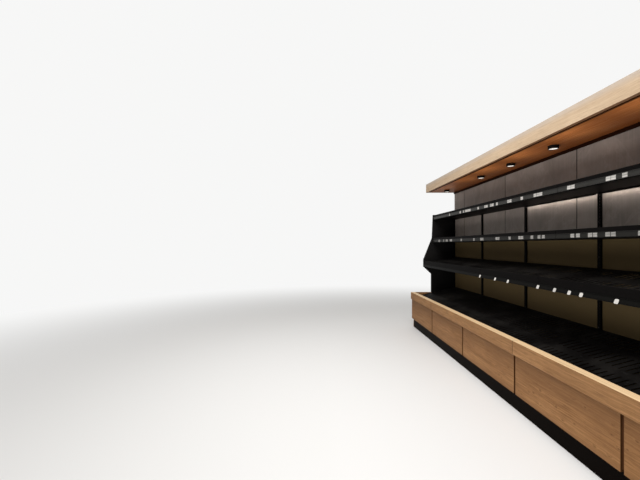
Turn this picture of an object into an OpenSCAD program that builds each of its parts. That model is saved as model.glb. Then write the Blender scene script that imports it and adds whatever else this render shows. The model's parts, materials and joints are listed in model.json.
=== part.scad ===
// Produce wall display: an oak-faced base with a sloped deck, three steel shelves on slotted channels, a
// panelled back and an oak canopy with downlights. Millimetres, +Z up, the run along X, the front facing -Y.

/* [Run] */
// Number of bays side by side
bays = 5; // [2:1:6]
// Width of one bay, from bay line to bay line
bay_w = 1000; // [800:50:1250]
// Height over all, from the floor to the top of the canopy
top_z = 2360; // [2300:5:2500]
// Distance from the face of the base's rail back to the face of the wall panels
back_face = 720; // [680:10:800]
// Thickness of the carcass boards, the end panels and the gables
board_t = 18; // [15:1:20]
// Thickness of all folded sheet steel
sheet_t = 2; // [1.5:0.5:3]
// Clearance between a folded tray and the bay line or gable beside it
tray_gap = 2; // [1:0.5:3]

/* [Base] */
// Height of the toe kick
toe_h = 140; // [100:5:160]
// Set-back of the toe kick behind the rail's face
toe_recess = 45; // [40:5:100]
// Height of the rail's top edge above the floor
rail_top = 573; // [530:1:620]
// Height of the rail along the base's front
rail_h = 112; // [90:1:150]
// Thickness of the rail
rail_t = 70; // [45:5:80]
// Radius of the rail's arrises
rail_arris = 3; // [1:0.5:6]
// Hairline joint between two lengths of rail
rail_joint = 1.5; // [0.5:0.5:4]
// Set-back of the front panels behind the rail's face
panel_setback = 18; // [8:1:22]
// Thickness of the front panels
panel_t = 19; // [12:1:22]
// Shadow gap between two front panels
panel_gap = 22; // [22:1:40]
// Set-back of the partitions' front edge in the shadow gap
partition_setback = 8; // [3:1:11]

/* [Produce deck] */
// Slope of the deck, rising to the back
deck_slope = 14; // [6:1:18]
// Depth of the deck's front edge below the rail's top
deck_drop = 70; // [50:5:90]
// Height of the deck's folded front and rear flanges
deck_flange = 22; // [12:1:30]
// Length of a drain slot
drain_l = 150; // [80:10:170]
// Width of a drain slot
drain_w = 12; // [6:1:16]
// Pitch of the drain slots along the bay
drain_pitch = 50; // [40:5:80]
// Width of the timber bearers under the deck
bearer_w = 22; // [16:1:30]
// Height of the timber bearers under the deck
bearer_h = 40; // [25:5:60]

/* [Back] */
// Thickness of the riser panels and the wall slabs
slab_t = 12; // [8:1:16]
// Width of one wall slab
slab_w = 1170; // [900:10:1400]
// Width of the cut slab at the left end
slab_first = 398; // [250:1:700]
// Width of the joint between two wall slabs
slab_joint = 7; // [3:1:9]
// Length of the tongue that closes a joint from behind
slab_tongue = 12; // [8:1:20]
// Width of a post
post_w = 30; // [25:5:40]
// Depth of a post
post_d = 50; // [40:5:60]
// Wall of the posts and back rails
tube_t = 2.5; // [2:0.5:4]
// Radius of the wall-fixing holes in the posts
fixing_r = 4.5; // [3.5:0.5:5.5]
// Width of a slotted channel
channel_w = 32; // [28:1:32]
// Depth of a slotted channel
channel_d = 16; // [14:1:24]
// Pitch of the slots up a channel
slot_pitch = 25; // [24:1:30]
// Height of a slot
slot_h = 16; // [14:1:16]
// Width of a slot
slot_w = 5; // [4.5:0.5:6]
// Distance of each row of slots from the channel's middle
slot_off = 8; // [7:0.5:9]

/* [Shelves] */
// Height of the lower shelf's deck at its front edge
lower_z = 1056; // [1030:1:1080]
// Set-back of the lower shelf's front behind the rail's face
lower_setback = 212; // [180:5:260]
// Slope of the lower shelf, rising to the back
lower_slope = 12; // [4:1:14]
// Height of the middle shelf's deck
middle_z = 1472; // [1440:1:1500]
// Set-back of the middle shelf's front behind the rail's face
middle_setback = 352; // [320:5:400]
// Height of the upper shelf's deck
upper_z = 1847; // [1820:1:1870]
// Set-back of the upper shelf's front behind the rail's face
upper_setback = 368; // [320:5:400]
// Height of the shelves' folded front lip
lip_h = 30; // [26:1:40]
// Height of a shelf's folded side and rear flanges
flange_h = 22; // [15:1:25]
// Depth of the middle and the upper shelf, from the deck to the closed underside
box_h = 75; // [72:1:90]
// Height of the front stop on the lower shelf
stop_h = 60; // [50:5:80]
// Part of the front stop that hangs below the deck
stop_drop = 20; // [15:1:25]
// Height of a lower bracket at the channel
bracket_h = 140; // [120:2:160]
// Height of a bracket at its nose
bracket_nose = 16; // [10:1:20]
// Thickness of a bracket
bracket_t = 3; // [2:0.5:4]
// Height of a ticket rail
ticket_h = 38; // [28:1:45]
// Tilt of the lower shelf's ticket rail, its foot forward
ticket_tilt = 20; // [0:5:30]
// First bay with a light under the upper shelf
lit_from = 3; // [1:1:6]

/* [Canopy] */
// Set-back of the fascia behind the rail's face
fascia_setback = 253; // [200:5:300]
// Height of the fascia
fascia_h = 135; // [110:1:160]
// Thickness of the fascia
fascia_t = 34; // [20:1:40]
// Height of the soffit's underside above the fascia's foot
soffit_rise = 3; // [0:1:30]
// Shadow gap between the fascia and the soffit
reveal = 25; // [8:1:30]
// Height of the strip along the wall under the soffit
strip_h = 29; // [20:1:60]
// Thickness of the strip along the wall
strip_t = 12; // [8:1:16]
// Set-back of the row of downlights behind the rail's face
lamp_setback = 500; // [450:10:560]
// Distance of the middle downlight of the first whole group of three from the left end
lamp_middle = 2080; // [1500:10:2400]
// Pitch of the three downlights of a group
lamp_pitch = 675; // [600:5:750]
// Pitch from one group of downlights to the next
lamp_group = 2485; // [2200:5:2800]
// Radius of a downlight
lamp_r = 42; // [35:1:50]
// Height of a downlight below the soffit
lamp_h = 30; // [20:1:40]

/* [Hidden] */

run_l = bays * bay_w;
depth = back_face + slab_t + post_d;
inner_x = run_l / 2 - board_t;

// Heights that the boards share
rail_z = rail_top - rail_h;
soffit_z = top_z - fascia_h + soffit_rise;
arm_z = soffit_z + board_t;
cover_z = top_z - board_t;

// Deck: its front edge, and the height of its top and underside at a distance y behind the rail's face
deck_y = rail_t + sheet_t;
deck_run = (back_face - deck_y - 1) / cos(deck_slope);
function deck_top(y) = rail_top - deck_drop + (y - deck_y) * tan(deck_slope);
function deck_under(y) = deck_top(y) - sheet_t / cos(deck_slope);

// Back: the riser panels meet the wall slabs behind the middle shelf
seam_z = middle_z - lip_h / 2;
seam_gap = 3;
channel_y = back_face - channel_d;
channel_foot = deck_top(channel_y) + 6;
channel_top = upper_z - sheet_t - 4;

// Slots: a whole number of pitches below the slot that carries the middle shelf, each given by its foot
slot_clear = 8;
slot_datum = middle_z - sheet_t - slot_clear - slot_h;
slot_first = slot_datum - slot_pitch * floor((slot_datum - channel_foot - slot_clear) / slot_pitch);
// Foot of the highest slot whose top clears height z
function slot_below(z) =
    slot_first + slot_pitch * floor((z - slot_clear - slot_h - slot_first) / slot_pitch + 0.01);

// Shelves: the height of the underside of each deck where it meets the channels
lower_rear = lower_z + (channel_y - lower_setback) * tan(lower_slope) - sheet_t / cos(lower_slope);
rib_w = 40;
rib_h = 14;
hook_reach = 3.5;
hook_drop = 8;
boxed_bracket_h = box_h - 2 * sheet_t - 2;

// Wall fixings, feet and downlights
fixing_z = [300, 2000];
foot_r = 30;
lamp_rim = 7;
lens_set = 4;
lamp_ends = 3 * lamp_r;
lamps = [for (g = [-1 : ceil(run_l / lamp_group)], k = [-1 : 1])
    let (x = lamp_middle + g * lamp_group + k * lamp_pitch) if (x > lamp_ends && x < run_l - lamp_ends) x];

// Middle of the post and channel on bay line i, which stands inside the gable at both ends
function line_x(i) = let (x = i * bay_w - run_l / 2, lean = board_t + channel_w / 2)
    i == 0 ? x + lean : i == bays ? x - lean : x;
// Left and right end of a tray in bay i, counted from 0
function tray_left(i) = (i == 0 ? -inner_x : i * bay_w - run_l / 2) + tray_gap;
function tray_right(i) = (i == bays - 1 ? inner_x : (i + 1) * bay_w - run_l / 2) - tray_gap;
// Outline with each corner rounded: p are the corners in order, r the radius, n the steps of each arc
function rounded(p, r, n = 6) = [for (i = [0 : len(p) - 1])
    let (c = p[i], u = unit(p[(i + len(p) - 1) % len(p)] - c), v = unit(p[(i + 1) % len(p)] - c),
         half = acos(u * v) / 2, m = c + unit(u + v) * r / sin(half),
         a = c + u * r / tan(half) - m, b = c + v * r / tan(half) - m)
    for (k = [0 : n]) m + unit(a + (b - a) * k / n) * r];
function unit(v) = v / norm(v);

// Every piece is drawn with y counted back from the rail's face
module from_front() { translate([0, -depth / 2, 0]) children(); }
// A flat outline in y and z, extruded along X from x to x + w
module profile(x, w) {
    translate([x, 0, 0]) rotate([90, 0, 90]) linear_extrude(w) children();
}
module board(x0, x1, y0, y1, z0, z1) { translate([x0, y0, z0]) cube([x1 - x0, y1 - y0, z1 - z0]); }

// Base
module toe_kick() {
    color([0.10, 0.09, 0.09]) from_front() {
        board(-inner_x, inner_x, toe_recess, toe_recess + board_t, 0, toe_h);
    }
}

// Each foot: a round pad, a hexagon to turn it by, a stem, and a plate under the bottom board
module levelling_feet() {
    stem_r = 15;
    hexagon_r = 21;
    pad_h = 8;
    hexagon_h = 10;
    plate_h = 12;
    end_x = inner_x - 2 * foot_r;
    color([0.12, 0.12, 0.12]) from_front()
        for (i = [0 : bays], y = [toe_recess + board_t + 70, back_face - 80])
            translate([min(max(line_x(i), -end_x), end_x), y, 0]) {
                cylinder(r = foot_r, h = pad_h);
                translate([0, 0, pad_h]) cylinder(r = hexagon_r, h = hexagon_h, $fn = 6);
                cylinder(r = stem_r, h = toe_h - plate_h / 2);
                translate([0, 0, toe_h - plate_h]) cylinder(r = foot_r, h = plate_h);
            }
}

module bottom_board() {
    color([0.20, 0.14, 0.10]) from_front()
        board(-inner_x, inner_x, panel_setback + panel_t, back_face, toe_h, toe_h + board_t);
}

module base_end(x) {
    panel_back = panel_setback + panel_t;
    color([0.62, 0.47, 0.33]) from_front() profile(x, board_t) polygon([
        [toe_recess, 0], [toe_recess, toe_h], [panel_back, toe_h], [panel_back, rail_z], [rail_t, rail_z],
        [rail_t, rail_top], [back_face + slab_t, rail_top], [back_face + slab_t, 0]]);
}

module partitions() {
    y = panel_setback + partition_setback;
    foot = toe_h + board_t;
    color([0.20, 0.14, 0.10]) from_front() for (i = [1 : bays - 1])
        profile(i * bay_w - run_l / 2 - board_t / 2, board_t) polygon([
            [y, foot], [y, rail_z], [rail_t, rail_z], [rail_t, deck_under(rail_t)],
            [back_face, deck_under(back_face)], [back_face, foot]]);
}

module front_panel(i) {
    x0 = i == 0 ? -run_l / 2 : i * bay_w - run_l / 2 + panel_gap / 2;
    x1 = i == bays - 1 ? run_l / 2 : (i + 1) * bay_w - run_l / 2 - panel_gap / 2;
    color([0.66, 0.50, 0.36])
        from_front() board(x0, x1, panel_setback, panel_setback + panel_t, toe_h, rail_z);
}

module top_rail(i) {
    color([0.70, 0.54, 0.39]) from_front()
        profile(i * bay_w - run_l / 2 + rail_joint / 2, bay_w - rail_joint)
            polygon(rounded([[0, rail_z], [rail_t, rail_z], [rail_t, rail_top], [0, rail_top]], rail_arris));
}

module rail_liner() {
    slot_l = 38;
    slot_gap = 12;
    foot = deck_under(rail_t);
    color([0.05, 0.05, 0.05]) from_front() for (i = [0 : bays - 1]) difference() {
        board(tray_left(i), tray_right(i), rail_t, rail_t + sheet_t, foot, rail_top - rail_arris);
        for (x = [tray_left(i) + 25 : slot_l + slot_gap : tray_right(i) - 25 - slot_l], z = [24, 40])
            board(x, x + slot_l, rail_t - 1, rail_t + sheet_t + 1, foot + z, foot + z + 6);
    }
}

module deck_bearers() {
    color([0.20, 0.14, 0.10]) from_front() for (i = [0 : bays - 1], y = [rail_t, back_face - bearer_w]) {
        x0 = i == 0 ? -inner_x : i * bay_w - run_l / 2 + board_t / 2;
        x1 = i == bays - 1 ? inner_x : (i + 1) * bay_w - run_l / 2 - board_t / 2;
        foot = deck_under(y) - bearer_h;
        profile(x0, x1 - x0) polygon([
            [y, foot], [y + bearer_w, foot], [y + bearer_w, deck_under(y + bearer_w)], [y, deck_under(y)]]);
    }
}

// A folded steel tray with its top at z = 0, its front at y = 0 and its left end at x = 0
module tray(w, d, front_h, rear_h, side_h) {
    rib_run = w - 2 * rib_w;
    translate([0, 0, -sheet_t]) cube([w, d, sheet_t]);
    translate([0, 0, -front_h]) cube([w, sheet_t, front_h]);
    translate([rib_w / 2, d - sheet_t, -rear_h]) cube([w - rib_w, sheet_t, rear_h]);
    for (x = [0, w - sheet_t]) translate([x, 0, -side_h]) cube([sheet_t, d, side_h]);
    for (k = [1 : 3]) translate([rib_w / 2 + k * rib_run / 4, 4, -sheet_t]) rotate([-90, 0, 0])
        linear_extrude(d - 8) difference() {
            polygon([[0, -0.5], [0, 0], [6, rib_h], [rib_w - 6, rib_h], [rib_w, 0], [rib_w, -0.5]]);
            polygon([[4, 0], [8, rib_h - sheet_t], [rib_w - 8, rib_h - sheet_t], [rib_w - 4, 0]]);
        }
}

// Rows of drain slots through a tray of width w and depth d, n rows deep
module drain_slots(w, d, n) {
    count = floor((w - 2 * drain_pitch) / drain_pitch);
    row = d / n;
    for (k = [0 : count], j = [0 : n - 1])
        translate([w / 2 + (k - count / 2) * drain_pitch, (j + 0.5) * row, -rib_h])
            cube([drain_w, drain_l, rib_h * 3], center = true);
}

module produce_deck(i) {
    w = tray_right(i) - tray_left(i);
    color([0.07, 0.07, 0.07]) from_front()
        translate([tray_left(i), deck_y, deck_top(deck_y)]) rotate([deck_slope, 0, 0]) difference() {
            union() {
                translate([0, 0, -sheet_t]) cube([w, deck_run, sheet_t]);
                for (y = [bearer_w + 2, deck_run - bearer_w - 6])
                    translate([board_t, y, -deck_flange]) cube([w - 2 * board_t, sheet_t, deck_flange]);
            }
            drain_slots(w, deck_run, 3);
        }
}

// Back
module back_posts() {
    color([0.06, 0.06, 0.06]) from_front() for (i = [0 : bays])
        translate([line_x(i) - post_w / 2, back_face + slab_t, 0]) difference() {
            cube([post_w, post_d, cover_z]);
            translate([tube_t, tube_t, -1])
                cube([post_w - 2 * tube_t, post_d - 2 * tube_t, cover_z + 2]);
            for (z = fixing_z) translate([post_w / 2, post_d - tube_t - 1, z])
                rotate([-90, 0, 0]) cylinder(r = fixing_r, h = tube_t + 2, $fn = 32);
        }
}

module back_rails() {
    rail_tube_h = 40;
    color([0.06, 0.06, 0.06]) from_front()
        for (i = [0 : bays - 1], z = [toe_h, seam_z - rail_tube_h / 2, soffit_z - rail_tube_h]) {
            x0 = line_x(i) + post_w / 2;
            w = line_x(i + 1) - line_x(i) - post_w;
            translate([x0, back_face + slab_t, z]) difference() {
                cube([w, post_d / 2, rail_tube_h]);
                translate([-1, tube_t, tube_t])
                    cube([w + 2, post_d / 2 - 2 * tube_t, rail_tube_h - 2 * tube_t]);
            }
        }
}

module riser_panels() {
    color([0.18, 0.14, 0.09]) from_front() for (i = [0 : bays - 1])
        board(tray_left(i), tray_right(i), back_face, back_face + slab_t, toe_h, seam_z - seam_gap / 2);
}

// Behind its right edge each slab has a tongue that closes the joint, in a rebate of the next slab
module wall_slabs() {
    fit = 1;
    mid = back_face + slab_t / 2;
    foot = seam_z + seam_gap / 2;
    joints = [for (x = slab_first - run_l / 2; x < inner_x - slab_w / 10; x = x + slab_w) x];
    starts = concat([-inner_x], [for (x = joints) x + slab_joint / 2]);
    ends = concat([for (x = joints) x - slab_joint / 2], [inner_x]);
    last = len(joints);
    color([0.40, 0.37, 0.35]) from_front() for (k = [0 : last]) {
        board(starts[k], ends[k], back_face, mid, foot, arm_z);
        rear_start = starts[k] + (k == 0 ? 0 : slab_tongue + fit);
        rear_end = ends[k] + (k == last ? 0 : slab_joint + slab_tongue);
        board(rear_start, rear_end, mid, back_face + slab_t, foot, arm_z);
    }
}

module slotted_channels() {
    color([0.05, 0.05, 0.05]) from_front() for (i = [0 : bays]) translate([line_x(i), channel_y, 0])
        difference() {
            translate([-channel_w / 2, 0, channel_foot])
                cube([channel_w, channel_d, channel_top - channel_foot]);
            translate([-channel_w / 2 + sheet_t, sheet_t, channel_foot - 1])
                cube([channel_w - 2 * sheet_t, channel_d, channel_top - channel_foot + 2]);
            for (side = [-1, 1], z = [slot_first : slot_pitch : channel_top - slot_h - 2])
                translate([side * slot_off - slot_w / 2, -1, z]) cube([slot_w, sheet_t + 2, slot_h]);
        }
}

// Shelves
// The pan that closes a boxed shelf from below, with a front upstand and full-height sides
module pan(w, d) {
    set = 5;
    upstand = 30;
    translate([0, set, -box_h]) {
        cube([w, d - set, sheet_t]);
        cube([w, sheet_t, upstand]);
        for (x = [0, w - sheet_t]) translate([x, 0, 0]) cube([sheet_t, d - set, box_h]);
    }
}

module shelf(setback, z, slope, boxed) {
    d = (channel_y - setback) / cos(slope);
    color([0.04, 0.04, 0.04]) from_front() for (i = [0 : bays - 1]) {
        w = tray_right(i) - tray_left(i);
        translate([tray_left(i), setback, z]) rotate([slope, 0, 0]) {
            if (boxed) {
                tray(w, d, lip_h, flange_h, flange_h);
                pan(w, d);
            } else difference() {
                tray(w, d, stop_drop, flange_h, flange_h);
                drain_slots(w, d, 2);
            }
        }
    }
}

module lower_front_stops() {
    color([0.03, 0.03, 0.03]) from_front() for (i = [0 : bays - 1])
        profile(tray_left(i), tray_right(i) - tray_left(i)) polygon([
            [lower_setback - sheet_t, lower_z - stop_drop], [lower_setback, lower_z - stop_drop],
            [lower_setback, lower_z - stop_drop + stop_h - sheet_t],
            [lower_setback + 8, lower_z - stop_drop + stop_h - sheet_t],
            [lower_setback + 8, lower_z - stop_drop + stop_h],
            [lower_setback - sheet_t, lower_z - stop_drop + stop_h]]);
}

// Outline of one bracket, h high at the channel. Its top follows a shelf's underside forward to y, and it has a
// hook in its highest slot and one in its lowest.
module bracket_outline(y, rear_z, slope, h) {
    reach = channel_y - y;
    drop = reach * tan(slope);
    steps = 10;
    foot = [for (k = [0 : steps]) let (t = k / steps)
        [y + reach * t, rear_z - drop * (1 - t) - bracket_nose - (h - bracket_nose) * pow(t, 1.6)]];
    top_slot = slot_below(rear_z);
    polygon(concat([[channel_y, rear_z], [y, rear_z - drop]], foot));
    for (z = [top_slot, top_slot - slot_pitch * floor((top_slot - hook_drop - rear_z + h) / slot_pitch)]) {
        translate([channel_y - 1, z]) square([sheet_t + 1.5 + hook_reach, slot_h - 5]);
        translate([channel_y + sheet_t + 0.3, z - hook_drop]) square([hook_reach, slot_h - 5 + hook_drop]);
    }
}

module brackets(setback, rear_z, slope, h) {
    nose_gap = 8;
    color([0.05, 0.05, 0.05]) from_front()
        for (i = [0 : bays - 1], x = [i == 0 ? line_x(0) - slot_off : line_x(i) + slot_off,
                                      i == bays - 1 ? line_x(bays) + slot_off : line_x(i + 1) - slot_off])
            profile(x - bracket_t / 2, bracket_t) bracket_outline(setback + nose_gap, rear_z, slope, h);
}

// Ticket rails: a clip behind the lip's foot, and a strip with a lip along its head and its foot
module ticket_rails(y, z, tilt) {
    clip_h = 8;
    strip_t = 1.6;
    hold = 4;
    color([0.17, 0.17, 0.16]) from_front() for (i = [0 : bays - 1])
        profile(tray_left(i), tray_right(i) - tray_left(i)) {
            translate([y + sheet_t, z - 1]) square([strip_t, clip_h + 1]);
            translate([y, z - 1]) rotate(-tilt) translate([0, -ticket_h]) {
                square([strip_t, ticket_h]);
                translate([-hold, 0]) square([hold + strip_t, strip_t]);
                translate([-hold, 0]) square([strip_t, hold]);
                translate([-hold, ticket_h - strip_t]) square([hold + sheet_t + strip_t, strip_t]);
                translate([-hold, ticket_h - hold]) square([strip_t, hold]);
            }
        }
}

// A slim light profile under the back edge of the upper shelf, open on the slanted side that faces the wall,
// with a cap at each end
module shelf_lights() {
    back = channel_y - 4;
    front = back - 16;
    top = upper_z - box_h;
    foot = top - 12;
    rear_lip = top - 4;
    foot_lip = front + 6;
    wall = 1.5;
    end_gap = 20;
    cap_t = 2;
    color([0.05, 0.05, 0.05]) from_front() for (i = [min(lit_from, bays) - 1 : bays - 1]) {
        x0 = tray_left(i) + end_gap;
        x1 = tray_right(i) - end_gap;
        profile(x0, x1 - x0) polygon([
            [back, top], [back, rear_lip], [back - wall, rear_lip], [back - wall, top - wall],
            [front + wall, top - wall], [front + wall, foot + wall],
            [foot_lip, foot + wall], [foot_lip, foot], [front, foot], [front, top]]);
        for (x = [x0, x1 - cap_t]) profile(x, cap_t)
            polygon([[back, top], [back, rear_lip], [foot_lip, foot], [front, foot], [front, top]]);
    }
}

module gable(x) {
    nose = 6;
    foot_back = 120;
    low = lower_z - stop_drop - ticket_h;
    color([0.04, 0.04, 0.04]) from_front() profile(x, board_t) polygon(concat(
        [[back_face + slab_t, rail_top], [back_face + slab_t, upper_z + 8]],
        rounded([[back_face, upper_z + 8], [upper_setback - nose, upper_z + 8],
                 [middle_setback - nose, middle_z],
                 [lower_setback - nose - 2, lower_z + stop_h], [lower_setback - nose - 2, low],
                 [lower_setback + foot_back, low - foot_back], [lower_setback + foot_back, rail_top],
                 [back_face, rail_top]], 5)));
}

// Canopy
module canopy_fascia() {
    arris = 2;
    foot = top_z - fascia_h;
    color([0.84, 0.74, 0.62]) from_front() profile(-run_l / 2, run_l) polygon(rounded([
        [fascia_setback, foot], [fascia_setback + fascia_t, foot], [fascia_setback + fascia_t, top_z],
        [fascia_setback, top_z]], arris));
}

module canopy_soffit() {
    color([0.45, 0.24, 0.13]) from_front()
        board(-inner_x, inner_x, fascia_setback + fascia_t + reveal, back_face, soffit_z, arm_z);
}

module canopy_top() {
    color([0.12, 0.12, 0.12]) from_front()
        board(-run_l / 2, run_l / 2, fascia_setback + fascia_t, depth, cover_z, top_z);
}

module canopy_ends() {
    color([0.84, 0.74, 0.62]) from_front() for (x = [-run_l / 2, inner_x])
        board(x, x + board_t, fascia_setback + fascia_t, back_face + slab_t, top_z - fascia_h, cover_z);
}

module canopy_arms() {
    color([0.06, 0.06, 0.06]) from_front() for (i = [0 : bays]) translate([line_x(i) - post_w / 2, 0, 0])
        difference() {
            board(0, post_w, fascia_setback + fascia_t, back_face + slab_t, arm_z, cover_z);
            board(tube_t, post_w - tube_t, fascia_setback + fascia_t - 1, back_face + slab_t + 1,
                  arm_z + tube_t, cover_z - tube_t);
        }
}

module wall_strip() {
    color([0.03, 0.03, 0.03]) from_front()
        board(-inner_x, inner_x, back_face - strip_t, back_face, soffit_z - strip_h, soffit_z);
}

module each_lamp() {
    for (x = lamps) translate([x - run_l / 2, lamp_setback, soffit_z - lamp_h]) children();
}

module lamp_bodies() {
    bevel = 3;
    color([0.03, 0.03, 0.03]) from_front() each_lamp() rotate_extrude($fn = 48) polygon([
        [0, lamp_h], [lamp_r, lamp_h], [lamp_r, bevel], [lamp_r - bevel, 0], [lamp_r - lamp_rim, 0],
        [lamp_r - lamp_rim, lens_set + 3], [0, lens_set + 3]]);
}

module lamp_lenses() {
    color([1.0, 0.96, 0.88]) from_front() each_lamp()
        translate([0, 0, lens_set]) cylinder(r = lamp_r - lamp_rim, h = 3, $fn = 48);
}

toe_kick();
levelling_feet();
bottom_board();
base_end(-run_l / 2);  // base_end_left
base_end(inner_x);  // base_end_right
partitions();
for (i = [1 : bays]) {
    front_panel(i - 1);
    top_rail(i - 1);
    produce_deck(i - 1);
}
rail_liner();
deck_bearers();
back_posts();
back_rails();
riser_panels();
wall_slabs();
slotted_channels();
shelf(lower_setback, lower_z, lower_slope, false);  // lower_shelf
lower_front_stops();
brackets(lower_setback, lower_rear, lower_slope, bracket_h);  // lower_brackets
ticket_rails(lower_setback - sheet_t, lower_z - stop_drop, ticket_tilt);  // lower_ticket_rails
shelf(middle_setback, middle_z, 0, true);  // middle_shelf
brackets(middle_setback, middle_z - sheet_t, 0, boxed_bracket_h);  // middle_brackets
ticket_rails(middle_setback, middle_z - lip_h, 0);  // middle_ticket_rails
shelf(upper_setback, upper_z, 0, true);  // upper_shelf
brackets(upper_setback, upper_z - sheet_t, 0, boxed_bracket_h);  // upper_brackets
ticket_rails(upper_setback, upper_z - lip_h, 0);  // upper_ticket_rails
shelf_lights();
gable(-run_l / 2);  // gable_left
gable(inner_x);  // gable_right
canopy_fascia();
canopy_soffit();
canopy_top();
canopy_ends();
canopy_arms();
wall_strip();
lamp_bodies();
lamp_lenses();
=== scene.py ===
"""Finish of a wall-side produce display, laid out as a Blender add-on and run as a script."""

import json
import math

import bmesh
import bpy
from bpy.props import FloatProperty, FloatVectorProperty, PointerProperty
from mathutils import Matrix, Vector


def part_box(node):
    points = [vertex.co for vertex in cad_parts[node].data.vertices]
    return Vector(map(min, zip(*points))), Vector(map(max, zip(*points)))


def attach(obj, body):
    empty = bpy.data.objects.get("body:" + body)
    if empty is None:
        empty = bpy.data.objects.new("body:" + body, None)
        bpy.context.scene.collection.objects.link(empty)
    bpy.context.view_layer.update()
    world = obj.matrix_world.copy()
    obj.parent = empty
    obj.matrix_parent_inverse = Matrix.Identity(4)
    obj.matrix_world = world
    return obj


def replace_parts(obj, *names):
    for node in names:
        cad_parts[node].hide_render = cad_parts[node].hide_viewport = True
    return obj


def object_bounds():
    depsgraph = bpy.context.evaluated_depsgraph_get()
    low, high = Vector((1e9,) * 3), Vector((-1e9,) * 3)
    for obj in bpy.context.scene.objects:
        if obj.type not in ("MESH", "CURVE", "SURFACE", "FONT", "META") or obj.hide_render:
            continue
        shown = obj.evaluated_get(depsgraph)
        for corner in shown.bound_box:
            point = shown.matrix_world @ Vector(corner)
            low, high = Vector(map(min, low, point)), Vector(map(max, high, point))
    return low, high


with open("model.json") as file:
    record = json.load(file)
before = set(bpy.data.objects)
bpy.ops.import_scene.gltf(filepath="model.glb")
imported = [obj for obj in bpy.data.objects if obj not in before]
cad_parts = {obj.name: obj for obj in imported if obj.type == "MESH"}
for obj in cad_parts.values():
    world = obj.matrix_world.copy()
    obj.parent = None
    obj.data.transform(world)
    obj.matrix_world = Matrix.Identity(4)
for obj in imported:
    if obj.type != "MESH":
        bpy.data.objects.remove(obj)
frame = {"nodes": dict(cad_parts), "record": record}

bl_info = {
    "name": "Produce wall display",
    "version": (1, 0, 0),
    "blender": (4, 5, 0),
    "location": "3D View > Sidebar > Display",
    "description": "Dresses the display's boards, steel, slabs, canopy and tickets",
    "category": "Object",
}

MM = 0.001
ROOT = "root"
CAD_BOX = [list(corner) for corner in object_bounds()]
LOW, HIGH = (Vector(corner) for corner in CAD_BOX)
SLOTS = {part["node"]: part["material_slot"] for part in frame["record"]["subparts"]}

BAYS = sum(name.startswith("front_panel_") for name in frame["nodes"])
BAY = (HIGH.x - LOW.x) / BAYS
RAIL_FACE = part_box("top_rail_1")[0].y
WALL_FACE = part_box("riser_panels")[0].y


def numbered(stem):
    """Names of the nodes that repeat from bay to bay."""
    return [f"{stem}_{i + 1}" for i in range(BAYS)]


# Shader maths


class Value:
    """An output of a node. Arithmetic on it adds Math nodes to the same finish."""

    def __init__(self, finish, socket):
        self.finish = finish
        self.socket = socket

    def maths(self, operation, *values):
        """A Math node on the given values."""
        return self.finish.node("ShaderNodeMath", {"operation": operation}, dict(enumerate(values)))

    def __add__(self, other):
        return self.maths("ADD", self, other)

    def __radd__(self, other):
        return self.maths("ADD", other, self)

    def __sub__(self, other):
        return self.maths("SUBTRACT", self, other)

    def __rsub__(self, other):
        return self.maths("SUBTRACT", other, self)

    def __mul__(self, other):
        return self.maths("MULTIPLY", self, other)

    def __rmul__(self, other):
        return self.maths("MULTIPLY", other, self)

    def __truediv__(self, other):
        return self.maths("DIVIDE", self, other)

    def __rtruediv__(self, other):
        return self.maths("DIVIDE", other, self)

    def __pow__(self, other):
        return self.maths("POWER", self, other)

    def __rpow__(self, other):
        return self.maths("POWER", other, self)

    def sine(self):
        return self.maths("SINE", self)

    def whole(self):
        return self.maths("FLOOR", self)

    def size(self):
        return self.maths("ABSOLUTE", self)

    def at_most(self, other):
        return self.maths("MINIMUM", self, other)

    def between(self, low, high):
        """0 below low, 1 above high and a smooth step from one to the other."""
        return self.finish.node("ShaderNodeMapRange", {"interpolation_type": "SMOOTHSTEP"},
                                {"Value": self, "From Min": low, "From Max": high})


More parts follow.
